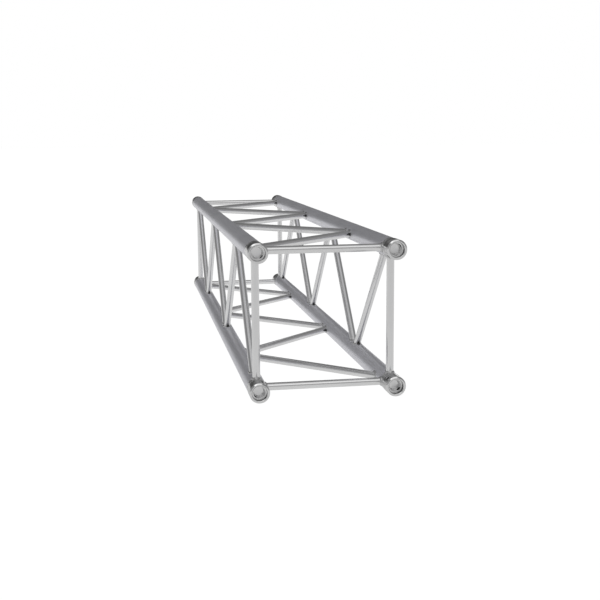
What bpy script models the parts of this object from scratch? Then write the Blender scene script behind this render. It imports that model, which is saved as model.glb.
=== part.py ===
"""Square lighting truss section, about 2 m long, in bare welded aluminium.

Four chord tubes run along Y at the corners of a square.  On each of the four
faces they are tied by two straight end bars and a zigzag of five diagonals,
and each chord end carries a turned receiver with a conical socket for a
coupler, behind a straight mouth, and a cross hole for the coupler's pin.

Frame: metres, +Z up, length along Y, origin at the middle of the bottom of
the bounding box.  The four faces are one face turned about the long axis in
quarter turns, so every piece is shaped once, in the top face, and placed by
parenting it to the empty of its face.
"""
import math

import bmesh
import bpy
from mathutils import Matrix, Vector

# Driving dimensions, in metres.
LENGTH = 2.000              # over the end faces of the receivers
CHORD_SPACING = 0.350       # between chord centre lines, both ways
CHORD_RADIUS = 0.025
CHORD_WALL = 0.003
BRACE_RADIUS = 0.010
BRACE_WALL = 0.002
END_BAR_OFFSET = 0.067      # end face to the centre line of an end bar
FIRST_NODE_OFFSET = 0.108   # end face to where the first diagonal meets its chord
DIAGONALS_PER_FACE = 5
GAP = 0.0003                # play between pieces that touch

# Receiver, measured from its end face into the chord.
RECEIVER_RADIUS = 0.026
RECEIVER_EXPOSED = 0.045    # stands out of the chord tube
RECEIVER_SHANK = 0.025      # slides into the chord tube
NOSE_CHAMFER_WIDTH = 0.0036   # taken off the end ring
NOSE_CHAMFER_DEPTH = 0.0024
SHOULDER_CHAMFER = 0.0008
MOUTH_RADIUS = 0.019
MOUTH_CHAMFER = 0.0012
LEDGE_DEPTH = 0.012         # the mouth is straight down to a ledge, where the cone starts
CONE_RADIUS = 0.0154
SOCKET_DEPTH = 0.034
SOCKET_FLOOR_RADIUS = 0.013
FLOOR_THICKNESS = 0.008
SHANK_WALL = 0.0045
SHANK_CHAMFER = 0.0010
PIN_HOLE_DEPTH = 0.018
PIN_HOLE_RADIUS = 0.0050

# Smoothness of the round shapes.
CHORD_SIDES = 32
BRACE_SIDES = 16
PIN_HOLE_SIDES = 16
SHARP_ANGLE = math.radians(35.0)
MERGE_DISTANCE = 0.00001

HALF_LENGTH = LENGTH / 2
HALF_SPACING = CHORD_SPACING / 2
CENTRE_HEIGHT = HALF_SPACING + RECEIVER_RADIUS
DIAGONAL_PITCH = (LENGTH - 2 * FIRST_NODE_OFFSET) / DIAGONALS_PER_FACE

FACES = ("top", "right", "bottom", "left")
CORNERS = ("top_left", "top_right", "bottom_right", "bottom_left")


def clear_scene():
    for obj in list(bpy.data.objects):
        bpy.data.objects.remove(obj, do_unlink=True)


def new_collection(name):
    collection = bpy.data.collections.new(name)
    bpy.context.scene.collection.children.link(collection)
    return collection


def metal(name, colour, roughness):
    """A bare aluminium finish."""
    material = bpy.data.materials.new(name)
    material.use_nodes = True
    shader = material.node_tree.nodes["Principled BSDF"]
    shader.inputs["Base Color"].default_value = (*colour, 1.0)
    shader.inputs["Metallic"].default_value = 1.0
    shader.inputs["Roughness"].default_value = roughness
    return material


def turned_object(name, profile, sides, collection):
    """An outline of (radius, height) points turned about Z; it is closed unless it starts on the axis."""
    mesh = bpy.data.meshes.new(name)
    outline = bmesh.new()
    points = [outline.verts.new((radius, 0.0, height)) for radius, height in profile]
    starts_on_axis = profile[0][0] == 0.0
    ends = points[1:] if starts_on_axis else points[1:] + points[:1]
    for start, end in zip(points, ends):
        outline.edges.new((start, end))
    outline.to_mesh(mesh)
    outline.free()
    obj = bpy.data.objects.new(name, mesh)
    collection.objects.link(obj)
    screw = obj.modifiers.new("Turn", "SCREW")
    screw.axis = "Z"
    screw.angle = math.tau
    screw.steps = sides
    screw.render_steps = sides
    screw.use_merge_vertices = True
    screw.merge_threshold = MERGE_DISTANCE
    return obj


def tube_profile(radius, wall, length):
    """A tube centred on the origin; its outer side runs from the top down."""
    half = length / 2
    inner = radius - wall
    return [(inner, half), (radius, half), (radius, -half), (inner, -half)]


def receiver_profile():
    """The receiver with its mouth at height 0, facing up, from the socket's floor outwards."""
    shank_radius = CHORD_RADIUS - CHORD_WALL - GAP
    shank_bore = shank_radius - SHANK_WALL
    shoulder = -RECEIVER_EXPOSED
    back = shoulder - RECEIVER_SHANK
    floor_back = -(SOCKET_DEPTH + FLOOR_THICKNESS)
    return [
        (0.0, -SOCKET_DEPTH),
        (SOCKET_FLOOR_RADIUS, -SOCKET_DEPTH),
        (CONE_RADIUS, -LEDGE_DEPTH),
        (MOUTH_RADIUS, -LEDGE_DEPTH),
        (MOUTH_RADIUS, -MOUTH_CHAMFER),
        (MOUTH_RADIUS + MOUTH_CHAMFER, 0.0),
        (RECEIVER_RADIUS - NOSE_CHAMFER_WIDTH, 0.0),
        (RECEIVER_RADIUS, -NOSE_CHAMFER_DEPTH),
        (RECEIVER_RADIUS, shoulder + SHOULDER_CHAMFER),
        (CHORD_RADIUS, shoulder),
        (shank_radius, shoulder),
        (shank_radius, back + SHANK_CHAMFER),
        (shank_radius - SHANK_CHAMFER, back),
        (shank_bore, back),
        (shank_bore, floor_back),
        (0.0, floor_back),
    ]


def round_cutter(name, radius, length, sides, matrix, collection):
    """A solid round bar along its own Z, used only to cut with."""
    mesh = bpy.data.meshes.new(name)
    bar = bmesh.new()
    bmesh.ops.create_cone(bar, cap_ends=True, segments=sides,
                          radius1=radius, radius2=radius, depth=length)
    bar.to_mesh(mesh)
    bar.free()
    cutter = bpy.data.objects.new(name, mesh)
    cutter.matrix_world = matrix
    cutter.hide_render = True
    cutter.display_type = "WIRE"
    collection.objects.link(cutter)
    return cutter


def cut(obj, cutter):
    boolean = obj.modifiers.new("Cut " + cutter.name, "BOOLEAN")
    boolean.operation = "DIFFERENCE"
    boolean.solver = "EXACT"
    boolean.object = cutter


def finished_mesh(obj, material):
    """The object's mesh with its modifiers and placement applied; the object goes."""
    bpy.context.view_layer.update()
    depsgraph = bpy.context.evaluated_depsgraph_get()
    evaluated = obj.evaluated_get(depsgraph)
    mesh = bpy.data.meshes.new_from_object(evaluated)
    mesh.transform(obj.matrix_world)
    mesh.name = obj.name
    mesh.shade_smooth()
    mesh.set_sharp_from_angle(angle=SHARP_ANGLE)
    mesh.materials.clear()
    mesh.materials.append(material)
    bpy.data.objects.remove(obj, do_unlink=True)
    return mesh


def lying_along(direction):
    """Turns Z onto the given direction, keeping X square to it."""
    return Vector(direction).to_track_quat("Z", "X").to_matrix().to_4x4()


def chord_mesh(material, collection):
    """A chord tube along Y, centred on the origin, between its receivers' shoulders."""
    length = LENGTH - 2 * (RECEIVER_EXPOSED + GAP)
    profile = tube_profile(CHORD_RADIUS, CHORD_WALL, length)
    tube = turned_object("chord", profile, CHORD_SIDES, collection)
    tube.matrix_world = Matrix.Rotation(math.pi / 2, 4, "X")
    return finished_mesh(tube, material)


def receiver_mesh(material, collection, cutters):
    """A receiver with its end face at the origin, facing -Y, cross drilled at 45 degrees."""
    turned = turned_object("receiver", receiver_profile(), CHORD_SIDES, collection)
    turned.matrix_world = Matrix.Rotation(math.pi / 2, 4, "X")
    pin_hole_place = Matrix.Translation((0.0, PIN_HOLE_DEPTH, 0.0)) @ lying_along((-1.0, 0.0, 1.0))
    pin_hole = round_cutter("pin_hole_cutter", PIN_HOLE_RADIUS, 4 * RECEIVER_RADIUS,
                            PIN_HOLE_SIDES, pin_hole_place, cutters)
    cut(turned, pin_hole)
    return finished_mesh(turned, material)


def chord_cutters(cutters):
    """The two chords beside a brace, fuller than the chords by the gap."""
    along_y = Matrix.Rotation(math.pi / 2, 4, "X")
    radius = CHORD_RADIUS + GAP
    length = 2 * CHORD_SPACING
    pair = []
    for side, name in ((-1, "left_chord_cutter"), (1, "right_chord_cutter")):
        place = Matrix.Translation((side * HALF_SPACING, 0.0, 0.0)) @ along_y
        pair.append(round_cutter(name, radius, length, CHORD_SIDES, place, cutters))
    return pair


def brace_mesh(name, run, material, collection, pair):
    """A brace across the face whose ends are run apart along Y, coped to both chords."""
    span = Vector((CHORD_SPACING, run, 0.0))
    profile = tube_profile(BRACE_RADIUS, BRACE_WALL, span.length)
    tube = turned_object(name, profile, BRACE_SIDES, collection)
    tube.matrix_world = lying_along(span)
    for cutter in pair:
        cut(tube, cutter)
    return finished_mesh(tube, material)


def place(name, mesh, parent, location, collection):
    obj = bpy.data.objects.new(name, mesh)
    obj.parent = parent
    obj.location = location
    collection.objects.link(obj)
    return obj


def add_face_frame(index, collection):
    """An empty on the long axis, turned so that the top face becomes this face."""
    frame = bpy.data.objects.new("frame_" + FACES[index], None)
    frame.location = (0.0, 0.0, CENTRE_HEIGHT)
    frame.rotation_euler = (0.0, index * math.pi / 2, 0.0)
    collection.objects.link(frame)
    return frame


def add_corner(index, frame, chord, receiver, collection):
    """The chord on the face's left edge, with a receiver in each end."""
    corner = CORNERS[index]
    place("chord_" + corner, chord, frame, (-HALF_SPACING, 0.0, HALF_SPACING), collection)
    near_place = (-HALF_SPACING, -HALF_LENGTH, HALF_SPACING)
    place("receiver_near_" + corner, receiver, frame, near_place, collection)
    far_place = (-HALF_SPACING, HALF_LENGTH, HALF_SPACING)
    far = place("receiver_far_" + corner, receiver, frame, far_place, collection)
    # Half a turn about its cross hole points the far receiver's mouth outwards.
    far.rotation_mode = "AXIS_ANGLE"
    far.rotation_axis_angle = (math.pi, -1.0, 0.0, 1.0)


def add_braces(index, frame, end_bar, rising, falling, collection):
    """Two end bars and the zigzag of diagonals of one face."""
    face = FACES[index]
    end_bar_y = HALF_LENGTH - END_BAR_OFFSET
    place("end_bar_near_" + face, end_bar, frame, (0.0, -end_bar_y, HALF_SPACING), collection)
    place("end_bar_far_" + face, end_bar, frame, (0.0, end_bar_y, HALF_SPACING), collection)
    first_middle = -HALF_LENGTH + FIRST_NODE_OFFSET + DIAGONAL_PITCH / 2
    for step in range(DIAGONALS_PER_FACE):
        mesh = rising if step % 2 == 0 else falling
        middle = (0.0, first_middle + step * DIAGONAL_PITCH, HALF_SPACING)
        place(f"diagonal_{face}_{step + 1}", mesh, frame, middle, collection)


def main():
    clear_scene()
    truss = new_collection("lighting_truss_section")
    cutters = new_collection("cutters")

    chord_metal = metal("chord_aluminium", (0.60, 0.61, 0.62), 0.32)
    brace_metal = metal("brace_aluminium", (0.66, 0.67, 0.68), 0.30)
    receiver_metal = metal("receiver_aluminium", (0.56, 0.57, 0.58), 0.22)

    chord = chord_mesh(chord_metal, truss)
    receiver = receiver_mesh(receiver_metal, truss, cutters)
    pair = chord_cutters(cutters)
    end_bar = brace_mesh("end_bar", 0.0, brace_metal, truss, pair)
    rising = brace_mesh("rising_diagonal", DIAGONAL_PITCH, brace_metal, truss, pair)
    falling = brace_mesh("falling_diagonal", -DIAGONAL_PITCH, brace_metal, truss, pair)

    for index in range(len(FACES)):
        frame = add_face_frame(index, truss)
        add_corner(index, frame, chord, receiver, truss)
        add_braces(index, frame, end_bar, rising, falling, truss)


main()
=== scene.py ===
"""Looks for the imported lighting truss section: tubes, receivers, weld beads, bare aluminium, studio.

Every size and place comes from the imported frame.  The four faces of the truss are one face turned
about its long axis in quarter turns, so each shape is made once, in the top face, and placed four ways.
"""
import math

import bmesh
import bpy
import numpy as np
from mathutils import Matrix, Vector
from mathutils.kdtree import KDTree


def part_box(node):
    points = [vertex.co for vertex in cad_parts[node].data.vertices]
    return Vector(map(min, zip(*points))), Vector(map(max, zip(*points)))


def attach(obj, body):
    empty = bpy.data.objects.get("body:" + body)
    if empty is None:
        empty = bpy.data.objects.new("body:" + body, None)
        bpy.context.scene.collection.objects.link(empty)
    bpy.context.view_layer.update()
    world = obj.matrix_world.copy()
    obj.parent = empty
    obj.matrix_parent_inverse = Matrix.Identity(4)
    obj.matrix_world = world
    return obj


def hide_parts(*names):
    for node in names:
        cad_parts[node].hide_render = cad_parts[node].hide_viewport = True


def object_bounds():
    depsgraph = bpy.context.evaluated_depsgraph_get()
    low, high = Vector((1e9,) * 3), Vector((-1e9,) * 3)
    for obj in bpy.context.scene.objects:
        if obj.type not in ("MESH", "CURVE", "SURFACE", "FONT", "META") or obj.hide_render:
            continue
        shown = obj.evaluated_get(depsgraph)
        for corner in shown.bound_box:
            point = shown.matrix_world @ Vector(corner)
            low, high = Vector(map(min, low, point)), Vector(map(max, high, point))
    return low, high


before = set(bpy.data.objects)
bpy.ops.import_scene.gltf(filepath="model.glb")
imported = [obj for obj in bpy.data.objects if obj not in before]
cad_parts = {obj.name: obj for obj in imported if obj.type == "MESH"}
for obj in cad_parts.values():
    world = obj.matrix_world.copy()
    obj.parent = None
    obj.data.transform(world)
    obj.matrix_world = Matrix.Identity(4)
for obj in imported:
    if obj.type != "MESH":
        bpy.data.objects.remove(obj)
CAD_BOX = [list(corner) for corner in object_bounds()]

FACES = ("top", "right", "bottom", "left")
CORNERS = ("top_left", "top_right", "bottom_right", "bottom_left")
DIAGONALS_PER_FACE = 5


# ---------------------------------------------------------------- sizes read from the frame

def middle(node):
    """The centre of a node's box."""
    low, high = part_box(node)
    return (low + high) / 2


def extent(node):
    """The size of a node's box."""
    low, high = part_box(node)
    return high - low


CENTRE = (Vector(CAD_BOX[0]) + Vector(CAD_BOX[1])) / 2
HALF_LENGTH = (CAD_BOX[1][1] - CAD_BOX[0][1]) / 2
HALF_SPACING = middle("chord_top_right").x - CENTRE.x
SPACING = 2 * HALF_SPACING
CHORD_RADIUS = extent("chord_top_left").x / 2
CHORD_HALF_LENGTH = extent("chord_top_left").y / 2
BRACE_RADIUS = extent("end_bar_near_top").z / 2
END_BAR_Y = middle("end_bar_far_top").y
FIRST_MIDDLE = middle("diagonal_top_1").y
PITCH = middle("diagonal_top_2").y - FIRST_MIDDLE
RECEIVER_RADIUS = extent("receiver_near_top_left").x / 2
RECEIVER_LENGTH = extent("receiver_near_top_left").y
RECEIVER_EXPOSED = HALF_LENGTH - CHORD_HALF_LENGTH


# ---------------------------------------------------------------- sizes that the frame doesn't hold

# Tubes, rounder than the frame's faceted solids.
CHORD_WALL = 0.003
BRACE_WALL = 0.002
CHORD_SIDES = 128
BRACE_SIDES = 64
CHORD_RING_STEP = 0.004
TUBE_EDGE = 0.0004           # the edge broken at a chord's end
SHARP_ANGLE = math.radians(30.0)

# Weld beads where a brace meets its chords.
BEAD_STEPS = 144
BEAD_SIDES = 14
BEAD_HALF_WIDTH = 0.0032
BEAD_HALF_HEIGHT = 0.0019
RIPPLE_PITCH = 0.0020
RIPPLE_DEPTH = 0.00035
BEAD_LIFT = 0.0006           # out of an open corner, and more out of a sharp one
LEAST_OPENNESS = 0.35        # limits the lift in the sharpest corners

# The wider, flatter bead round a receiver's seam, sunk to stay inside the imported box.
SEAM_HALF_WIDTH = 0.0036
SEAM_HALF_HEIGHT = 0.0011
SEAM_RIPPLE_PITCH = 0.0042
SEAM_RIPPLE_DEPTH = 0.0007
SEAM_SUNK = 0.0009
SEAM_POINTS = 48

# How far the marks of a weld reach over each kind of tube.
BRACE_WELD_REACH = 0.010
CHORD_WELD_REACH = 0.011

# Painted shade, a darker colour, sits in the sharp corner that each diagonal makes with its chord, on the
# side away from its node.
CORNER_SHADE_REACH = 0.0068
CORNER_OFFSET = 0.0445
CORNER_HEIGHT = CHORD_RADIUS + 0.0015

# The receiver: its nose, its stepped and tapered socket, its shank and its cross hole.
NOSE_CHAMFER_WIDTH = 0.0036
NOSE_CHAMFER_DEPTH = 0.0024
MOUTH_RADIUS = 0.0190
MOUTH_CHAMFER = 0.0013
LEDGE_DEPTH = 0.0120
CONE_RADIUS = 0.0154
SOCKET_DEPTH = 0.0340
SOCKET_FLOOR_RADIUS = 0.0130
FLOOR_THICKNESS = 0.0080
SHOULDER_LENGTH = 0.0030
SHOULDER_DROP = 0.0008
SHANK_WALL = 0.0045
SHANK_PLAY = 0.0003
PIN_HOLE_DEPTH = 0.0180
PIN_HOLE_RADIUS = 0.0050
PIN_HOLE_SIDES = 48
PIN_HOLE_FLARE = 0.0008      # with the sink, gives the countersink its slope
PIN_HOLE_SINK = 0.0006       # how deep the countersink goes
CUTTER_OVERRUN = 0.004

# Finishes that more than one kind of piece shares.
BAND_LEVEL = 0.62            # the polished metal on both sides of a receiver's seam
# Light flecks of spatter by the welds, their lightness partly a painted glint.
FLECK_LEVEL = 0.95
FLECK_EDGES = (0.53, 0.60)   # of the mottle, from none to full
CORNER_SHADE_EDGES = (0.28, 0.80)    # of the soot attribute, from none to full
DRESSED_START = 0.024        # from a chord's end, where its polish begins
DRESSED_FULL = 0.018         # and where it is complete
FLECK_START = 0.010          # from a receiver's seam, where its flecks begin
FLECK_FULL = 0.004           # and where they are complete



# ---------------------------------------------------------------- mesh helpers

def loop_quads(count, sides):
    """Faces of a skin over closed rings of points, where the last ring joins the first."""
    ring = np.arange(count)[:, None]
    side = np.arange(sides)[None, :]
    next_ring = (ring + 1) % count
    next_side = (side + 1) % sides
    quads = np.stack([ring * sides + side, next_ring * sides + side,
                      next_ring * sides + next_side, ring * sides + next_side], axis=-1)
    return quads.reshape(-1, 4)


def mesh_from_rings(name, rings, places):
    """A closed skin over rings of points.

    places holds each point in its tube's own frame, x and z across and y along, for the finishes.
    """
    count, sides = rings.shape[:2]
    mesh = bpy.data.meshes.new(name)
    mesh.from_pydata(rings.reshape(-1, 3).tolist(), [], loop_quads(count, sides).tolist())
    add_places(mesh, places.reshape(-1, 3))
    return mesh


def add_places(mesh, places):
    """Keeps each point's place in its piece's own frame, for the finishes to read."""
    attribute = mesh.attributes.new("tube_place", "FLOAT_VECTOR", "POINT")
    attribute.data.foreach_set("vector", np.asarray(places, np.float32).ravel())


def add_weld_nearness(mesh, bead_points, reach):
    """How near each point is to a weld: 1 on the bead's line, falling to 0.37 at the reach."""
    tree = KDTree(len(bead_points))
    for index, point in enumerate(bead_points):
        tree.insert(Vector(point), index)
    tree.balance()
    nearness = [math.exp(-(tree.find(vertex.co)[2] / reach) ** 2) for vertex in mesh.vertices]
    attribute = mesh.attributes.new("weld_nearness", "FLOAT", "POINT")
    attribute.data.foreach_set("value", nearness)


def add_corner_shade(mesh, corners):
    """How deep each point is in a corner of painted shade: 1 inside, 0 well outside."""
    depth = np.zeros(len(mesh.vertices))
    if len(corners):
        points = np.array([vertex.co for vertex in mesh.vertices])
        for corner in corners:
            distance = np.linalg.norm(points - corner, axis=1)
            depth = np.maximum(depth, np.exp(-(distance / CORNER_SHADE_REACH) ** 3))
    attribute = mesh.attributes.new("corner_shade", "FLOAT", "POINT")
    attribute.data.foreach_set("value", depth)


def face_outwards(mesh):
    """Points the faces of a closed mesh outwards and shades it smooth between its sharp edges."""
    shape = bmesh.new()
    shape.from_mesh(mesh)
    bmesh.ops.recalc_face_normals(shape, faces=shape.faces)
    shape.to_mesh(mesh)
    shape.free()
    mesh.shade_smooth()
    mesh.set_sharp_from_angle(angle=SHARP_ANGLE)


def circle(sides):
    """Cosines and sines of even steps round a circle."""
    angle = np.arange(sides) * (math.tau / sides)
    return np.cos(angle), np.sin(angle)


# ---------------------------------------------------------------- tubes

def tube_along_y(name, half_length, radius, wall, sides, ring_step):
    """A hollow tube along Y with rings close enough to carry the weld marks."""
    across, up = circle(sides)
    straight = half_length - TUBE_EDGE
    stations = np.linspace(-straight, straight, int(2 * half_length / ring_step))
    outline = [(radius - TUBE_EDGE, -half_length)]
    outline += [(radius, y) for y in stations]
    outline += [(radius - TUBE_EDGE, half_length)]
    outline += [(radius - wall, half_length), (radius - wall, -half_length)]
    rings = np.array([np.stack([across * r, np.full(sides, y), up * r], axis=-1) for r, y in outline])
    mesh = mesh_from_rings(name, rings, rings)
    face_outwards(mesh)
    return mesh


def cope_run(radius, around, across, slant):
    """The chord's reach from its axis beside a line of a brace, and how far that line leans.

    around and across are the sine and cosine of the place round the brace; slant is the brace's
    lengthwise lean, positive where that side of the brace leans away from the chord.
    """
    reach = np.sqrt(CHORD_RADIUS ** 2 - (radius * around) ** 2)
    return reach, radius * across * slant


def brace_frame(run):
    """Unit vectors along and across a brace that spans the face and moves run along Y."""
    along = Vector((SPACING, run, 0.0)).normalized()
    across = Vector((-along.y, along.x, 0.0))
    return along, across


def brace_ends(run, radius, sides):
    """Where lines at this radius along a brace start and stop, measured from its middle."""
    along, _ = brace_frame(run)
    cosine, sine = circle(sides)
    reach, lean = cope_run(radius, sine, cosine, along.y)
    half = Vector((SPACING, run)).length / 2
    start = -half + (reach + lean) / along.x
    stop = half - (reach - lean) / along.x
    return start, stop


def brace_points(run, radius, distance, sides):
    """Points round a brace at the given distance from its middle along each of its lines."""
    along, across = brace_frame(run)
    cosine, sine = circle(sides)
    points = np.outer(distance, along) + np.outer(radius * cosine, across)
    points[:, 2] += radius * sine
    places = np.stack([radius * cosine, distance, radius * sine], axis=-1)
    return points, places


def brace_mesh(name, run):
    """A hollow brace coped to the chord at both ends, with rings close enough for the weld marks."""
    inner = BRACE_RADIUS - BRACE_WALL
    start, stop = brace_ends(run, BRACE_RADIUS, BRACE_SIDES)
    inner_start, inner_stop = brace_ends(run, inner, BRACE_SIDES)
    # The rings are closer together near the ends, where the weld marks are.
    shares = np.concatenate([np.linspace(0.0, 0.12, 12),
                             np.linspace(0.16, 0.84, 18),
                             np.linspace(0.88, 1.0, 12)])
    rings = []
    places = []
    for share in shares:
        points, place = brace_points(run, BRACE_RADIUS, start + (stop - start) * share, BRACE_SIDES)
        rings.append(points)
        places.append(place)
    for distance in (inner_stop, inner_start):
        points, place = brace_points(run, inner, distance, BRACE_SIDES)
        rings.append(points)
        places.append(place)
    mesh = mesh_from_rings(name, np.array(rings), np.array(places))
    face_outwards(mesh)
    return mesh


# ---------------------------------------------------------------- weld beads

def bead_mesh(name, centre_lines, normals, seed,
              half_width=BEAD_HALF_WIDTH, half_height=BEAD_HALF_HEIGHT,
              pitch=RIPPLE_PITCH, ripple_depth=RIPPLE_DEPTH):
    """Rippled weld beads along closed lines; normals point out of the corner that a bead fills."""
    draw = np.random.default_rng(seed)
    parts = []
    places = []
    faces = []
    offset = 0
    turn = np.arange(BEAD_SIDES) * (math.tau / BEAD_SIDES)
    for line, normal in zip(centre_lines, normals):
        steps = len(line)
        ahead = np.roll(line, -1, axis=0)
        behind = np.roll(line, 1, axis=0)
        tangent = ahead - behind
        tangent /= np.linalg.norm(tangent, axis=1, keepdims=True)
        outward = normal - tangent * np.sum(normal * tangent, axis=1, keepdims=True)
        outward /= np.linalg.norm(outward, axis=1, keepdims=True)
        sideways = np.cross(tangent, outward)
        lengths = np.linalg.norm(ahead - line, axis=1)
        travel = np.concatenate([[0.0], np.cumsum(lengths)[:-1]])
        ripples = max(8, round(lengths.sum() / pitch))
        phase = travel / lengths.sum() * ripples
        wander = np.interp(np.arange(steps), np.linspace(0, steps, 13),
                           np.r_[draw.uniform(-0.12, 0.12, 12), 0.0])
        wander[-1] = wander[0]
        # Each puddle's edge lags at the sides of the bead, which makes the stacked crescents.
        lag = 0.55 * np.abs(np.cos(turn)) ** 2
        saw = (phase[:, None] + lag[None, :]) % 1.0
        ripple = ripple_depth * (1.0 - saw) ** 1.6 * np.clip(np.sin(turn), 0.0, 1.0) ** 0.5
        width = half_width * (1.0 + 0.35 * wander)
        height = half_height * (1.0 + 0.5 * wander)
        points = (line[:, None, :]
                  + sideways[:, None, :] * (width[:, None] * np.cos(turn))[:, :, None]
                  + outward[:, None, :] * (height[:, None] * np.sin(turn) + ripple)[:, :, None])
        parts.append(points.reshape(-1, 3))
        # A bead's place is its ripple count along the line, then height and side on the bead.
        place_rows = [np.broadcast_to(row, (steps, BEAD_SIDES))
                      for row in (phase[:, None], np.sin(turn), np.cos(turn))]
        places.append(np.stack(place_rows, axis=-1).reshape(-1, 3))
        faces.append(loop_quads(steps, BEAD_SIDES) + offset)
        offset += steps * BEAD_SIDES
    mesh = bpy.data.meshes.new(name)
    mesh.from_pydata(np.concatenate(parts).tolist(), [], np.concatenate(faces).tolist())
    add_places(mesh, np.concatenate(places))
    face_outwards(mesh)
    return mesh


def brace_corners(run):
    """The sharp corner at each foot of a diagonal, in its own frame: none for a square brace."""
    if run == 0.0:
        return []
    inset = HALF_SPACING - CORNER_HEIGHT
    away = run / 2 - math.copysign(CORNER_OFFSET, run)
    return [np.array((side * inset, side * away, 0.0)) for side in (-1, 1)]


def brace_bead_lines(run):
    """The two closed lines where a brace meets its chords, and the way out of the corner along each."""
    along, across = brace_frame(run)
    cosine, sine = circle(BEAD_STEPS)
    start, stop = brace_ends(run, BRACE_RADIUS, BEAD_STEPS)
    brace_normal = np.outer(cosine, across)
    brace_normal[:, 2] += sine
    lines = []
    normals = []
    for distance, chord_x in ((start, -HALF_SPACING), (stop, HALF_SPACING)):
        points, _ = brace_points(run, BRACE_RADIUS, distance, BEAD_STEPS)
        chord_normal = np.stack([points[:, 0] - chord_x, np.zeros(BEAD_STEPS), points[:, 2]], axis=-1)
        chord_normal /= np.linalg.norm(chord_normal, axis=1, keepdims=True)
        bisector = brace_normal + chord_normal
        openness = np.linalg.norm(bisector, axis=1, keepdims=True) / 2
        bisector /= np.linalg.norm(bisector, axis=1, keepdims=True)
        lines.append(points + bisector * (BEAD_LIFT / np.clip(openness, LEAST_OPENNESS, 1.0)))
        normals.append(bisector)
    return lines, normals


def receiver_bead_lines():
    """The line round a chord's end where its receiver is welded in, in the chord's own frame."""
    cosine, sine = circle(2 * BEAD_STEPS)
    normal = np.stack([cosine, np.zeros(2 * BEAD_STEPS), sine], axis=-1)
    return [normal * (CHORD_RADIUS - SEAM_SUNK)], [normal]


def chord_corners():
    """The sharp corners at the feet of the diagonals on one chord, in the chord's own frame."""
    corners = []
    for node in range(DIAGONALS_PER_FACE + 1):
        y = FIRST_MIDDLE + (node - 0.5) * PITCH
        # Even nodes are in the chord's own face, and odd ones in the face before it.
        across, up = (CORNER_HEIGHT, 0.0) if node % 2 == 0 else (0.0, -CORNER_HEIGHT)
        if node > 0:
            corners.append(np.array((across, y - CORNER_OFFSET, up)))
        if node < DIAGONALS_PER_FACE:
            corners.append(np.array((across, y + CORNER_OFFSET, up)))
    return corners


def chord_bead_points(braces):
    """Every weld line on one chord, in the chord's own frame, for its weld marks."""
    points = []
    # The chord is the left edge of its own face, and the right edge of the face before it.
    before = np.array(Matrix.Rotation(-math.pi / 2, 3, "Y"))
    bars = [("end_bar", -END_BAR_Y), ("end_bar", END_BAR_Y)]
    for step in range(DIAGONALS_PER_FACE):
        kind = "rising_diagonal" if step % 2 == 0 else "falling_diagonal"
        bars.append((kind, FIRST_MIDDLE + step * PITCH))
    for kind, y in bars:
        # Every third point of a bead's line is close enough for its marks.
        line = braces[kind][2][::3]
        own = line + (HALF_SPACING, y, 0.0)
        points += [p for p in own if p[0] < HALF_SPACING]
        other = (line + (0.0, y, HALF_SPACING)) @ before.T
        points += [p for p in other + (HALF_SPACING, 0.0, -HALF_SPACING) if p[2] > -HALF_SPACING]
    seam_across, seam_up = circle(SEAM_POINTS)
    for y in (-CHORD_HALF_LENGTH, CHORD_HALF_LENGTH):
        seam = [CHORD_RADIUS * seam_across, np.full(SEAM_POINTS, y), CHORD_RADIUS * seam_up]
        points += list(np.stack(seam, axis=-1))
    return np.array(points)


# ---------------------------------------------------------------- receivers

def turned_mesh(name, outline, sides):
    """An outline of (radius, depth) points from axis to axis, turned about Y, depth running along +Y."""
    across, up = circle(sides)
    shape = bmesh.new()
    loops = [[shape.verts.new((radius * a, depth, radius * b)) for a, b in zip(across, up)]
             for radius, depth in outline[1:-1]]
    for inner, outer in zip(loops, loops[1:]):
        for side in range(sides):
            after = (side + 1) % sides
            shape.faces.new((inner[side], inner[after], outer[after], outer[side]))
    for loop, (_, depth) in ((loops[0], outline[0]), (loops[-1], outline[-1])):
        middle_point = shape.verts.new((0.0, depth, 0.0))
        for side in range(sides):
            shape.faces.new((loop[side], loop[(side + 1) % sides], middle_point))
    mesh = bpy.data.meshes.new(name)
    shape.to_mesh(mesh)
    shape.free()
    face_outwards(mesh)
    return mesh


def rounded(corner, before, after, radius, steps):
    """Points on an arc that rounds a corner of an outline between its two neighbours."""
    corner, before, after = (np.array(point, float) for point in (corner, before, after))
    to_before = (before - corner) / np.linalg.norm(before - corner)
    to_after = (after - corner) / np.linalg.norm(after - corner)
    half = math.acos(float(np.clip(to_before @ to_after, -1.0, 1.0))) / 2
    setback = radius / math.tan(half)
    bisector = (to_before + to_after) / np.linalg.norm(to_before + to_after)
    centre = corner + bisector * (radius / math.sin(half))
    first = corner + to_before * setback - centre
    last = corner + to_after * setback - centre
    sweep = math.acos(float(np.clip(first @ last / (radius * radius), -1.0, 1.0)))
    points = []
    for step in range(steps + 1):
        share = step / steps
        spread = math.sin(sweep)
        mix = (first * math.sin((1 - share) * sweep) + last * math.sin(share * sweep)) / spread
        points.append(tuple(centre + mix))
    return points


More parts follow.
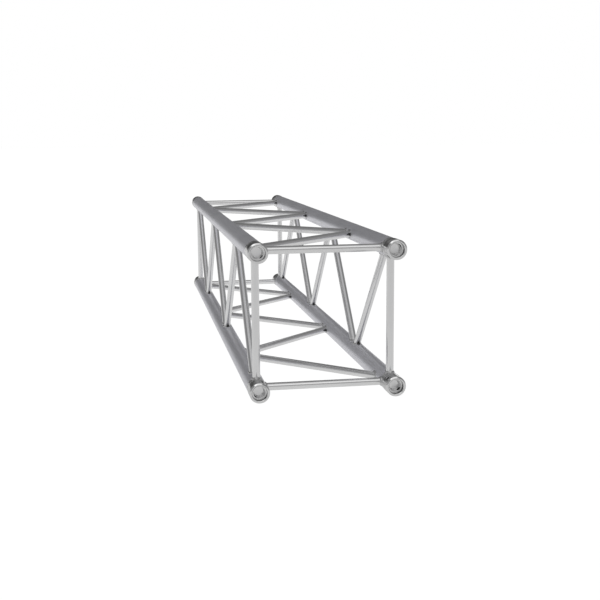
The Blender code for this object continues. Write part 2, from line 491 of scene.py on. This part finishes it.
def receiver_outline():
    """Sharp corners of the receiver and how much each is rounded, from the socket's floor outwards."""
    shank = CHORD_RADIUS - CHORD_WALL - SHANK_PLAY
    bore = shank - SHANK_WALL
    back = RECEIVER_LENGTH
    shoulder = RECEIVER_EXPOSED
    return [
        ((0.0, SOCKET_DEPTH), 0.0),
        ((SOCKET_FLOOR_RADIUS, SOCKET_DEPTH), 0.0010),
        ((CONE_RADIUS, LEDGE_DEPTH), 0.0005),
        ((MOUTH_RADIUS, LEDGE_DEPTH), 0.0004),
        ((MOUTH_RADIUS, MOUTH_CHAMFER), 0.0003),
        ((MOUTH_RADIUS + MOUTH_CHAMFER, 0.0), 0.0004),
        ((RECEIVER_RADIUS - NOSE_CHAMFER_WIDTH, 0.0), 0.0010),
        ((RECEIVER_RADIUS, NOSE_CHAMFER_DEPTH), 0.0012),
        ((RECEIVER_RADIUS, shoulder - SHOULDER_LENGTH), 0.0004),
        ((CHORD_RADIUS - SHOULDER_DROP, shoulder), 0.0),
        ((shank, shoulder), 0.0),
        ((shank, back), 0.0008),
        ((bore, back), 0.0005),
        ((bore, SOCKET_DEPTH + FLOOR_THICKNESS), 0.0012),
        ((0.0, SOCKET_DEPTH + FLOOR_THICKNESS), 0.0),
    ]


def smooth_outline(corners, steps=5):
    """The outline's points, with an arc at each corner that has a radius."""
    points = []
    for index, (corner, radius) in enumerate(corners):
        if radius == 0.0:
            points.append(corner)
            continue
        before = corners[index - 1][0]
        after = corners[(index + 1) % len(corners)][0]
        points += rounded(corner, before, after, radius, steps)
    return points


def pin_hole_cutter_mesh():
    """A round cutter along Y for the cross hole, flared beyond the receiver's surface at both ends."""
    edge = RECEIVER_RADIUS - PIN_HOLE_SINK
    far_out = RECEIVER_RADIUS + CUTTER_OVERRUN
    flared = PIN_HOLE_RADIUS + PIN_HOLE_FLARE + far_out - RECEIVER_RADIUS
    across, up = circle(PIN_HOLE_SIDES)
    shape = bmesh.new()
    loops = []
    outline = [(flared, -far_out), (PIN_HOLE_RADIUS, -edge), (PIN_HOLE_RADIUS, edge), (flared, far_out)]
    for radius, height in outline:
        loops.append([shape.verts.new((radius * a, height, radius * b)) for a, b in zip(across, up)])
    for lower, upper in zip(loops, loops[1:]):
        for index in range(PIN_HOLE_SIDES):
            after = (index + 1) % PIN_HOLE_SIDES
            shape.faces.new((lower[index], lower[after], upper[after], upper[index]))
    shape.faces.new(loops[0])
    shape.faces.new(loops[-1])
    bmesh.ops.recalc_face_normals(shape, faces=shape.faces)
    mesh = bpy.data.meshes.new("pin_hole_cutter")
    shape.to_mesh(mesh)
    shape.free()
    return mesh


def receiver_mesh():
    """A turned receiver, mouth at the origin facing -Y, with its countersunk cross hole."""
    blank_mesh = turned_mesh("receiver", smooth_outline(receiver_outline()), CHORD_SIDES)
    cutter = bpy.data.objects.new("pin_hole_cutter", pin_hole_cutter_mesh())
    blank = bpy.data.objects.new("receiver_blank", blank_mesh)
    for obj in (cutter, blank):
        bpy.context.scene.collection.objects.link(obj)
    diagonal = Vector((-1.0, 0.0, 1.0)).to_track_quat("Y", "Z").to_matrix().to_4x4()
    cutter.matrix_world = Matrix.Translation((0.0, PIN_HOLE_DEPTH, 0.0)) @ diagonal
    boolean = blank.modifiers.new("Pin hole", "BOOLEAN")
    boolean.operation = "DIFFERENCE"
    boolean.solver = "EXACT"
    boolean.object = cutter
    bpy.context.view_layer.update()
    evaluated = blank.evaluated_get(bpy.context.evaluated_depsgraph_get())
    mesh = bpy.data.meshes.new_from_object(evaluated)
    mesh.name = "receiver"
    for obj in (cutter, blank):
        bpy.data.objects.remove(obj, do_unlink=True)
    add_places(mesh, [vertex.co for vertex in mesh.vertices])
    mesh.shade_smooth()
    mesh.set_sharp_from_angle(angle=SHARP_ANGLE)
    return mesh


# ---------------------------------------------------------------- finishes

class Nodes:
    """Short ways to add and join the nodes of one material."""

    def __init__(self, material, shader="Principled BSDF"):
        material.use_nodes = True
        self.tree = material.node_tree
        self.shader = self.tree.nodes[shader]

    def add(self, kind, **settings):
        node = self.tree.nodes.new(kind)
        for key, value in settings.items():
            setattr(node, key, value)
        return node

    def link(self, source, target):
        self.tree.links.new(source, target)

    def put(self, socket, value):
        """Joins an output to a socket, or sets the socket's value."""
        if isinstance(value, bpy.types.NodeSocket):
            self.link(value, socket)
        else:
            socket.default_value = value

    def attribute(self, name):
        return self.add("ShaderNodeAttribute", attribute_name=name)

    def noise(self, vector, scale, detail=4.0, roughness=0.55):
        node = self.add("ShaderNodeTexNoise")
        self.link(vector, node.inputs["Vector"])
        node.inputs["Scale"].default_value = scale
        node.inputs["Detail"].default_value = detail
        node.inputs["Roughness"].default_value = roughness
        return node.outputs["Fac"]

    def stretch(self, vector, scale):
        node = self.add("ShaderNodeVectorMath", operation="MULTIPLY")
        self.link(vector, node.inputs[0])
        node.inputs[1].default_value = scale
        return node.outputs["Vector"]

    def plus(self, first, second):
        node = self.add("ShaderNodeVectorMath", operation="ADD")
        self.link(first, node.inputs[0])
        self.link(second, node.inputs[1])
        return node.outputs["Vector"]

    def math(self, operation, first, second=0.0, clamp=False):
        node = self.add("ShaderNodeMath", operation=operation, use_clamp=clamp)
        self.put(node.inputs[0], first)
        self.put(node.inputs[1], second)
        return node.outputs[0]

    def length(self, across, up):
        """Length of a pair of components."""
        squares = self.math("ADD", self.math("MULTIPLY", across, across), self.math("MULTIPLY", up, up))
        return self.math("SQRT", squares)

    def window(self, value, low, high, to_low=0.0, to_high=1.0):
        """Maps low..high onto to_low..to_high, smoothly and held at the ends."""
        node = self.add("ShaderNodeMapRange", interpolation_type="SMOOTHSTEP", clamp=True)
        self.put(node.inputs["Value"], value)
        for name, number in (("From Min", low), ("From Max", high), ("To Min", to_low), ("To Max", to_high)):
            node.inputs[name].default_value = number
        return node.outputs["Result"]

    def mix(self, share, first, second, blend="MIX"):
        """Mixes two colours."""
        node = self.add("ShaderNodeMix", data_type="RGBA", blend_type=blend)
        self.put(node.inputs[0], share)
        self.put(node.inputs[6], first)
        self.put(node.inputs[7], second)
        return node.outputs[2]

    def ramp(self, value, levels):
        """A smooth grey ramp through (position, level) pairs."""
        node = self.add("ShaderNodeValToRGB")
        node.color_ramp.interpolation = "EASE"
        while len(node.color_ramp.elements) < len(levels):
            node.color_ramp.elements.new(0.5)
        for element, (position, level) in zip(node.color_ramp.elements, levels):
            element.position = position
            element.color = grey(level, ROOM_BLUE)
        self.put(node.inputs[0], value)
        return node.outputs["Color"]

    def bump(self, height, distance, below=None):
        node = self.add("ShaderNodeBump")
        self.link(height, node.inputs["Height"])
        node.inputs["Distance"].default_value = distance
        if below is not None:
            self.link(below, node.inputs["Normal"])
        return node.outputs["Normal"]


def grey(level, blue=0.0):
    """A grey with its blue raised by a share, or lowered where the share is negative."""
    return (level, level, level * (1 + blue), 1.0)


def piece_places(nodes, drift):
    """The place in the tube's own frame, shifted by where the piece is, so no two pieces match."""
    own = nodes.attribute("tube_place").outputs["Vector"]
    world = nodes.add("ShaderNodeNewGeometry").outputs["Position"]
    return nodes.plus(own, nodes.stretch(world, (drift, drift, drift)))


def tube_aluminium(name, level, roughness, blue, metallic):
    """Bare extruded tube: die lines, faint clouds, fine scratches, frost and smoke at its welds, and painted
    shade in its sharp corners.

    Within DRESSED_START of a chord's ends it is polished and flecked with spatter and painted glints, like
    the receivers there. A brace is too short for its ends to be taken for a chord's.
    """
    material = bpy.data.materials.new(name)
    nodes = Nodes(material)
    place = piece_places(nodes, 0.01)
    world = nodes.add("ShaderNodeNewGeometry").outputs["Position"]
    die_lines = nodes.noise(nodes.stretch(place, (700.0, 0.8, 700.0)), 1.0, 3.0, 0.6)
    fine_lines = nodes.noise(nodes.stretch(place, (3200.0, 6.0, 3200.0)), 1.0, 2.0, 0.5)
    clouds = nodes.noise(world, 7.0, 4.0, 0.5)
    mottle = nodes.noise(world, 240.0, 4.0, 0.65)
    scratch_field = nodes.noise(nodes.stretch(place, (420.0, 60.0, 420.0)), 1.0, 4.0, 0.7)
    scratches = nodes.window(scratch_field, 0.66, 0.74)
    nearness = nodes.attribute("weld_nearness").outputs["Fac"]
    ragged = nodes.math("MULTIPLY", nodes.math("SUBTRACT", mottle, 0.5), 0.5)
    frost = nodes.window(nodes.math("ADD", nearness, ragged), 0.35, 0.95)
    smoke = nodes.window(nodes.math("ADD", nearness, ragged), 0.80, 1.05)
    # Painted shade in the sharp corners at the diagonals' feet, ragged at its edge.
    corner_shade_depth = nodes.math("ADD", nodes.attribute("corner_shade").outputs["Fac"], ragged)
    corner_shade = nodes.window(corner_shade_depth, *CORNER_SHADE_EDGES)
    split = nodes.add("ShaderNodeSeparateXYZ")
    nodes.link(nodes.attribute("tube_place").outputs["Vector"], split.inputs[0])
    from_middle = nodes.math("ABSOLUTE", split.outputs["Y"])
    along = nodes.math("ADD", from_middle, nodes.math("MULTIPLY", ragged, 0.012))
    dressed = nodes.window(along, CHORD_HALF_LENGTH - DRESSED_START, CHORD_HALF_LENGTH - DRESSED_FULL)

    base = nodes.mix(nodes.window(clouds, 0.35, 0.65),
                     grey(level * 0.975, blue), grey(level * 1.02, blue))
    base = nodes.mix(nodes.window(die_lines, 0.42, 0.62, 0.0, 0.5), base, grey(level * 0.95, blue))
    base = nodes.mix(nodes.math("MULTIPLY", scratches, 0.20), base, grey(level * 1.08))
    base = nodes.mix(nodes.math("MULTIPLY", smoke, 0.30), base, grey(level * 0.45, -0.01))
    base = nodes.mix(dressed, base, grey(BAND_LEVEL))
    # Light flecks in the dressed ends: spatter, partly a painted glint.
    flecks = nodes.math("MULTIPLY", dressed, nodes.window(mottle, *FLECK_EDGES))
    base = nodes.mix(flecks, base, grey(FLECK_LEVEL))
    # Painted shade: the colour goes dark in the sharp corners at the diagonals' feet.
    base = nodes.mix(corner_shade, base, grey(0.13))
    nodes.link(base, nodes.shader.inputs["Base Color"])

    rough = nodes.window(clouds, 0.3, 0.7, roughness - 0.015, roughness + 0.02)
    fine_change = nodes.math("MULTIPLY", nodes.math("SUBTRACT", fine_lines, 0.5), 0.08)
    rough = nodes.math("ADD", rough, fine_change)
    rough = nodes.math("ADD", rough, nodes.math("MULTIPLY", scratches, 0.08))
    rough = nodes.math("ADD", rough, nodes.math("MULTIPLY", frost, 0.10))
    rough = nodes.math("ADD", rough, nodes.math("MULTIPLY", corner_shade, 0.5), clamp=True)
    polish = nodes.math("SUBTRACT", 1.0, nodes.math("MULTIPLY", dressed, 0.7))
    rough = nodes.math("MULTIPLY", rough, polish)
    rough = nodes.math("ADD", rough, nodes.math("MULTIPLY", flecks, 0.5))
    nodes.link(rough, nodes.shader.inputs["Roughness"])
    nodes.shader.inputs["Metallic"].default_value = metallic

    grain = nodes.bump(die_lines, 0.000008)
    grain = nodes.bump(fine_lines, 0.000005, below=grain)
    grain = nodes.bump(scratch_field, 0.000012, below=grain)
    nodes.link(grain, nodes.shader.inputs["Normal"])
    return material


def receiver_aluminium(name, level, roughness):
    """Turned metal: fine lathe rings, a darker band behind the nose, flecks of spatter and painted glint at
    the seam, a bright socket.

    The wall of the socket's straight mouth is painted dark, and the wall of the cross hole is painted near
    black as shade.
    """
    material = bpy.data.materials.new(name)
    nodes = Nodes(material)
    own = nodes.attribute("tube_place").outputs["Vector"]
    split = nodes.add("ShaderNodeSeparateXYZ")
    nodes.link(own, split.inputs[0])
    across, depth, up = split.outputs
    radius = nodes.length(across, up)
    world = nodes.add("ShaderNodeNewGeometry").outputs["Position"]
    ring_place = nodes.add("ShaderNodeCombineXYZ")
    nodes.link(radius, ring_place.inputs[0])
    nodes.link(depth, ring_place.inputs[1])
    rings = nodes.noise(nodes.stretch(ring_place.outputs[0], (2600.0, 2600.0, 1.0)), 1.0, 3.0, 0.6)
    clouds = nodes.noise(world, 60.0, 5.0, 0.65)
    mottle = nodes.noise(world, 300.0, 4.0, 0.7)
    nicks = nodes.window(nodes.noise(world, 180.0, 5.0, 0.8), 0.64, 0.70)

    socket = nodes.window(radius, MOUTH_RADIUS + 0.0012, MOUTH_RADIUS + 0.0004)
    ragged = nodes.math("MULTIPLY", nodes.math("SUBTRACT", mottle, 0.5), 0.004)
    ragged_depth = nodes.math("ADD", depth, ragged)
    # The first few millimetres of the mouth's straight wall are painted dark.
    mouth_wall = nodes.math("MULTIPLY", nodes.window(radius, MOUTH_RADIUS - 0.0006, MOUTH_RADIUS - 0.0002),
                            nodes.window(ragged_depth, 0.0020, 0.0034))
    above_ledge = nodes.window(ragged_depth, LEDGE_DEPTH, LEDGE_DEPTH - 0.0015)
    dark_mouth_wall = nodes.math("MULTIPLY", mouth_wall, above_ledge)
    dark_mouth_wall = nodes.math("MULTIPLY", dark_mouth_wall, socket)
    # Painted shade: the cross hole's wall goes near black.
    along_hole = nodes.math("MULTIPLY", nodes.math("ADD", across, up), math.sqrt(0.5))
    from_hole = nodes.length(along_hole, nodes.math("SUBTRACT", depth, PIN_HOLE_DEPTH))
    hole = nodes.window(from_hole, PIN_HOLE_RADIUS + 0.0006, PIN_HOLE_RADIUS + 0.0001)
    above_floor = nodes.window(depth, SOCKET_DEPTH - 0.008, SOCKET_DEPTH - 0.009)
    hole = nodes.math("MULTIPLY", hole, above_floor)
    dark = nodes.math("MAXIMUM", dark_mouth_wall, hole)

    base = nodes.mix(nodes.window(clouds, 0.35, 0.68), grey(level * 0.94), grey(level * 1.04))
    base = nodes.mix(nodes.window(rings, 0.45, 0.65, 0.0, 0.4), base, grey(level * 0.88))
    band = nodes.window(ragged_depth, 0.0038, 0.0050)
    band_metal = nodes.mix(nodes.window(clouds, 0.35, 0.65),
                           grey(BAND_LEVEL * 0.85), grey(BAND_LEVEL * 1.15))
    base = nodes.mix(band, base, band_metal)
    # Light flecks by the seam: spatter, partly a painted glint.
    by_seam = nodes.window(depth, RECEIVER_EXPOSED - FLECK_START, RECEIVER_EXPOSED - FLECK_FULL)
    flecks = nodes.math("MULTIPLY", nodes.window(mottle, *FLECK_EDGES), by_seam)
    flecks = nodes.math("MULTIPLY", flecks, nodes.window(radius, CHORD_RADIUS - 0.001, CHORD_RADIUS))
    base = nodes.mix(flecks, base, grey(FLECK_LEVEL))
    base = nodes.mix(nodes.math("MULTIPLY", nicks, 0.4), base, grey(level * 0.66))
    base = nodes.mix(socket, base, nodes.mix(nodes.window(clouds, 0.3, 0.7), grey(0.88), grey(0.94)))
    # Near black: the mouth wall's dark band, and the cross hole's painted shade.
    base = nodes.mix(nodes.math("MULTIPLY", dark, 0.92), base, grey(0.05))
    nodes.link(base, nodes.shader.inputs["Base Color"])

    rough = nodes.window(clouds, 0.3, 0.7, roughness - 0.02, roughness + 0.05)
    rough = nodes.math("ADD", rough, nodes.math("MULTIPLY", rings, 0.06))
    rough = nodes.math("ADD", rough, nodes.math("MULTIPLY", socket, 0.16))
    rough = nodes.math("ADD", rough, nodes.math("MULTIPLY", flecks, 0.5))
    rough = nodes.math("ADD", rough, nodes.math("MULTIPLY", dark, 0.30), clamp=True)
    nodes.link(rough, nodes.shader.inputs["Roughness"])
    nodes.shader.inputs["Metallic"].default_value = 1.0

    grain = nodes.bump(rings, 0.00003)
    grain = nodes.bump(nicks, -0.00006, below=grain)
    nodes.link(grain, nodes.shader.inputs["Normal"])
    return material


def weld_aluminium(name, level, roughness, scorch):
    """Weld metal: painted highlight on the ripples' crests, painted shade in their troughs and in sharp
    corners, scorched clouds.
    """
    material = bpy.data.materials.new(name)
    nodes = Nodes(material)
    own = nodes.attribute("tube_place").outputs["Vector"]
    split = nodes.add("ShaderNodeSeparateXYZ")
    nodes.link(own, split.inputs[0])
    phase, crown, _ = split.outputs
    world = nodes.add("ShaderNodeNewGeometry").outputs["Position"]
    frost = nodes.noise(world, 900.0, 4.0, 0.7)
    clouds = nodes.noise(world, 120.0, 3.0, 0.6)
    crest = nodes.window(nodes.math("FRACT", phase), 0.75, 0.05)
    corner_shade = nodes.window(nodes.attribute("corner_shade").outputs["Fac"], *CORNER_SHADE_EDGES)
    # Painted highlight and shade: the ripples' crests are painted lighter and their troughs darker.
    base = nodes.mix(crest, grey(level * 0.70), grey(level * 1.08))
    base = nodes.mix(nodes.window(clouds, 0.46, 0.58, 0.0, scorch), base, grey(level * 0.30, -0.01))
    # Painted shade: the bead goes dark in the sharp corners at the diagonals' feet.
    base = nodes.mix(corner_shade, base, grey(0.09))
    nodes.link(base, nodes.shader.inputs["Base Color"])
    rough = nodes.window(frost, 0.3, 0.7, roughness - 0.06, roughness + 0.10)
    rough = nodes.math("ADD", rough, nodes.window(crown, 0.7, 0.0, 0.0, 0.15), clamp=True)
    nodes.link(rough, nodes.shader.inputs["Roughness"])
    nodes.shader.inputs["Metallic"].default_value = 1.0
    nodes.link(nodes.bump(frost, 0.00004), nodes.shader.inputs["Normal"])
    return material


# ---------------------------------------------------------------- placing

def face_matrix(index):
    """Turns the top face into the face or corner of this index about the truss's long axis."""
    return Matrix.Translation(CENTRE) @ Matrix.Rotation(index * math.pi / 2, 4, "Y")


def place(name, mesh, matrix, slot, replaced=()):
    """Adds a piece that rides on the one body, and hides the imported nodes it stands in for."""
    piece = bpy.data.objects.new(name, mesh)
    piece.matrix_world = matrix
    bpy.context.scene.collection.objects.link(piece)
    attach(piece, "root")
    if replaced:
        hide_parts(*replaced)


def add_corner(index, chord, receiver, receiver_weld):
    """One chord with a receiver welded into each end."""
    corner = CORNERS[index]
    axis = face_matrix(index) @ Matrix.Translation((-HALF_SPACING, 0.0, HALF_SPACING))
    place("chord_tube_" + corner, chord, axis, "chord_aluminium", ["chord_" + corner])
    end_over_end = Matrix.Rotation(math.pi, 4, Vector((-1.0, 0.0, 1.0)))
    for end, side, turn in (("near", -1, Matrix.Identity(4)), ("far", 1, end_over_end)):
        mouth = axis @ Matrix.Translation((0.0, side * HALF_LENGTH, 0.0)) @ turn
        node = f"receiver_{end}_{corner}"
        place("turned_" + node, receiver, mouth, "receiver_aluminium", [node])
        seam = axis @ Matrix.Translation((0.0, side * (HALF_LENGTH - RECEIVER_EXPOSED), 0.0)) @ turn
        place(f"weld_{node}", receiver_weld, seam, "brace_aluminium")


def add_face(index, end_bar, rising, falling):
    """The end bars and the zigzag of one face, each brace with its two weld beads."""
    face = FACES[index]
    turned = face_matrix(index)
    braces = [(f"end_bar_{end}_{face}", side * END_BAR_Y, end_bar)
              for end, side in (("near", -1), ("far", 1))]
    for step in range(DIAGONALS_PER_FACE):
        pair = rising if step % 2 == 0 else falling
        braces.append((f"diagonal_{face}_{step + 1}", FIRST_MIDDLE + step * PITCH, pair))
    for node, y, (tube, beads) in braces:
        centre = turned @ Matrix.Translation((0.0, y, HALF_SPACING))
        place("tube_" + node, tube, centre, "brace_aluminium", [node])
        place("weld_" + node, beads, centre, "brace_aluminium")


# ---------------------------------------------------------------- studio and camera

# The studio is what the metal mirrors: walls with a level for each height (the sine of the angle above
# the horizon), darker at the far side, and a soft panel in the ceiling, at slopes measured from straight
# up. Low in the far wall are a bright cove, a dark drape to the left and a bright doorway to the right of
# it. The floor is brighter at the far side. The camera sees a plain white in place of all this.
WALL_LEVELS = ((0.0, 0.50), (0.06, 0.42), (0.12, 0.36), (0.20, 0.32), (0.36, 0.31), (0.46, 0.28),
               (0.60, 0.22), (1.0, 0.20))
FAR_WALL_SHADE = 0.32
COVE_LEVEL = 0.45
DRAPE_LEVEL = 0.085
PANEL_LEVEL = 1.0
PANEL_ACROSS = ((-0.90, -0.50), (0.38, 0.64))
PANEL_ALONG = ((-2.7, -0.6), (-1.0, 0.45))
FLOOR_NEAR_LEVEL = 0.585
FLOOR_FAR_LEVEL = 0.74
FLOOR_NEAR_Y = -2.5
FLOOR_FAR_Y = 3.0
FLOOR_RADIUS = 60.0
FLOOR_ALBEDO = 0.25
FLOOR_LIT = 0.08             # taken off the floor's glow, which the lights make up
FLOOR_LIT_BACKDROP = 0.06    # the same for what the camera sees
BACKDROP = 1.0
ROOM_BLUE = 0.012
DOORWAY_LEVEL = 0.6

KEY_PLACE = (-2.4, -3.2, 4.2)
KEY_WIDTH = 3.0
KEY_HEIGHT = 2.0
KEY_POWER = 8.0

# The camera, from the fit of the section to the photograph.
SENSOR_WIDTH = 36.0
FOCAL_LENGTH = 60.39
CAMERA_FROM_CENTRE = Vector((-0.490, -2.414 - HALF_LENGTH, 0.456))
CAMERA_RIGHT = Vector((0.9851, -0.1717, -0.0075))
CAMERA_FORWARD = Vector((0.1683, 0.9726, -0.1606))


def add_floor():
    """A pale floor that is overexposed to the camera, and a calmer white to everything else."""
    bpy.ops.mesh.primitive_circle_add(vertices=96, radius=FLOOR_RADIUS, fill_type="NGON",
                                      location=(0.0, 0.0, 0.0))
    floor = bpy.context.object
    floor.name = "studio_floor"
    material = bpy.data.materials.new("studio_floor")
    nodes = Nodes(material)
    nodes.shader.inputs["Base Color"].default_value = grey(FLOOR_ALBEDO)
    nodes.shader.inputs["Roughness"].default_value = 0.9
    nodes.shader.inputs["Specular IOR Level"].default_value = 0.0
    nodes.shader.inputs["Emission Strength"].default_value = 1.0
    split = nodes.add("ShaderNodeSeparateXYZ")
    nodes.link(nodes.add("ShaderNodeNewGeometry").outputs["Position"], split.inputs[0])
    level = nodes.window(split.outputs["Y"], FLOOR_NEAR_Y, FLOOR_FAR_Y,
                         FLOOR_NEAR_LEVEL - FLOOR_LIT, FLOOR_FAR_LEVEL - FLOOR_LIT)
    seen = nodes.add("ShaderNodeLightPath").outputs["Is Camera Ray"]
    glow = nodes.mix(seen, level, grey(BACKDROP - FLOOR_LIT_BACKDROP))
    nodes.link(glow, nodes.shader.inputs["Emission Color"])
    floor.data.materials.append(material)


def add_surroundings():
    """The room that the metal mirrors, and a plain white for the camera."""
    world = bpy.data.worlds.new("studio")
    bpy.context.scene.world = world
    nodes = Nodes(world, "Background")
    direction = nodes.add("ShaderNodeTexCoord").outputs["Generated"]
    split = nodes.add("ShaderNodeSeparateXYZ")
    nodes.link(direction, split.inputs[0])
    across, along, height = split.outputs
    far_side = nodes.math("MAXIMUM", along, 0.0)
    shade = nodes.math("SUBTRACT", 1.0, nodes.math("MULTIPLY", far_side, FAR_WALL_SHADE))
    walls = nodes.mix(1.0, nodes.ramp(height, WALL_LEVELS), shade, "MULTIPLY")
    cove = nodes.math("MULTIPLY", nodes.window(along, 0.80, 0.97), nodes.window(height, 0.12, 0.0))
    cove = nodes.math("MULTIPLY", cove, nodes.window(across, -0.30, 0.25, 0.35 * COVE_LEVEL, COVE_LEVEL))
    walls = nodes.mix(1.0, walls, cove, "ADD")
    drape = nodes.math("MULTIPLY", nodes.window(along, 0.90, 0.95), nodes.window(height, 0.30, 0.22))
    drape = nodes.math("MULTIPLY", drape, nodes.window(height, 0.0, 0.02))
    drape = nodes.math("MULTIPLY", drape, nodes.window(across, 0.34, 0.28))
    walls = nodes.mix(drape, walls, grey(DRAPE_LEVEL))
    doorway = nodes.math("MULTIPLY", nodes.window(along, 0.85, 0.95), nodes.window(height, 0.28, 0.08))
    doorway = nodes.math("MULTIPLY", doorway, nodes.window(across, 0.28, 0.34))
    walls = nodes.mix(1.0, walls, nodes.math("MULTIPLY", doorway, DOORWAY_LEVEL), "ADD")
    above = nodes.math("MAXIMUM", height, 0.05)
    panel = 1.0
    for slope, edges in ((nodes.math("DIVIDE", across, above), PANEL_ACROSS),
                         (nodes.math("DIVIDE", along, above), PANEL_ALONG)):
        (out_low, in_low), (in_high, out_high) = edges
        panel = nodes.math("MULTIPLY", panel, nodes.window(slope, out_low, in_low))
        panel = nodes.math("MULTIPLY", panel, nodes.window(slope, out_high, in_high))
    panel = nodes.math("MULTIPLY", panel, nodes.window(height, 0.20, 0.50))
    room = nodes.mix(panel, walls, grey(PANEL_LEVEL))
    seen = nodes.add("ShaderNodeLightPath").outputs["Is Camera Ray"]
    nodes.link(nodes.mix(seen, room, grey(BACKDROP)), nodes.shader.inputs["Color"])


def add_key_light():
    """A big soft light from the front left, over the camera."""
    data = bpy.data.lights.new("key_soft_box", "AREA")
    data.shape = "RECTANGLE"
    data.size = KEY_WIDTH
    data.size_y = KEY_HEIGHT
    data.energy = KEY_POWER
    light = bpy.data.objects.new("key_soft_box", data)
    light.location = KEY_PLACE
    light.rotation_euler = (CENTRE - light.location).to_track_quat("-Z", "Y").to_euler()
    bpy.context.scene.collection.objects.link(light)


def add_camera():
    """The photograph's view: near end first, from the left and a little above."""
    data = bpy.data.cameras.new("camera")
    data.sensor_width = SENSOR_WIDTH
    data.lens = FOCAL_LENGTH
    camera = bpy.data.objects.new("camera", data)
    right = CAMERA_RIGHT.normalized()
    forward = CAMERA_FORWARD.normalized()
    up = right.cross(forward).normalized()
    turn = Matrix((right, up, -forward)).transposed().to_4x4()
    camera.matrix_world = Matrix.Translation(CENTRE + CAMERA_FROM_CENTRE) @ turn
    bpy.context.scene.collection.objects.link(camera)
    bpy.context.scene.camera = camera


# ---------------------------------------------------------------- the scene

def main():
    """Makes each shape once and places it round the truss."""
    add_camera()
    chord_finish = tube_aluminium("chord_finish", 0.87, 0.42, 0.050, 0.78)
    brace_finish = tube_aluminium("brace_finish", 0.89, 0.18, 0.002, 1.0)
    receiver_finish = receiver_aluminium("receiver_finish", 0.82, 0.09)
    weld_finish = weld_aluminium("weld_finish", 0.86, 0.22, 0.30)
    seam_finish = weld_aluminium("seam_finish", 0.92, 0.16, 0.60)

    braces = {}
    for kind, run in (("end_bar", 0.0), ("rising_diagonal", PITCH), ("falling_diagonal", -PITCH)):
        tube = brace_mesh(kind, run)
        lines, normals = brace_bead_lines(run)
        add_weld_nearness(tube, np.concatenate(lines), BRACE_WELD_REACH)
        beads = bead_mesh(kind + "_beads", lines, normals, seed=len(braces) + 1)
        for mesh in (tube, beads):
            add_corner_shade(mesh, brace_corners(run))
        tube.materials.append(brace_finish)
        beads.materials.append(weld_finish)
        braces[kind] = (tube, beads, np.concatenate(lines))

    chord = tube_along_y("chord", CHORD_HALF_LENGTH, CHORD_RADIUS, CHORD_WALL, CHORD_SIDES, CHORD_RING_STEP)
    add_weld_nearness(chord, chord_bead_points(braces), CHORD_WELD_REACH)
    add_corner_shade(chord, chord_corners())
    chord.materials.append(chord_finish)

    receiver = receiver_mesh()
    receiver.materials.clear()
    receiver.materials.append(receiver_finish)
    lines, normals = receiver_bead_lines()
    receiver_weld = bead_mesh("receiver_bead", lines, normals, seed=9,
                              half_width=SEAM_HALF_WIDTH, half_height=SEAM_HALF_HEIGHT,
                              pitch=SEAM_RIPPLE_PITCH, ripple_depth=SEAM_RIPPLE_DEPTH)
    add_corner_shade(receiver_weld, [])
    receiver_weld.materials.append(seam_finish)

    pairs = [braces[kind][:2] for kind in ("end_bar", "rising_diagonal", "falling_diagonal")]
    for index in range(len(FACES)):
        add_corner(index, chord, receiver, receiver_weld)
        add_face(index, *pairs)

    add_floor()
    add_surroundings()
    add_key_light()
    bpy.context.scene.view_settings.view_transform = "Standard"


main()
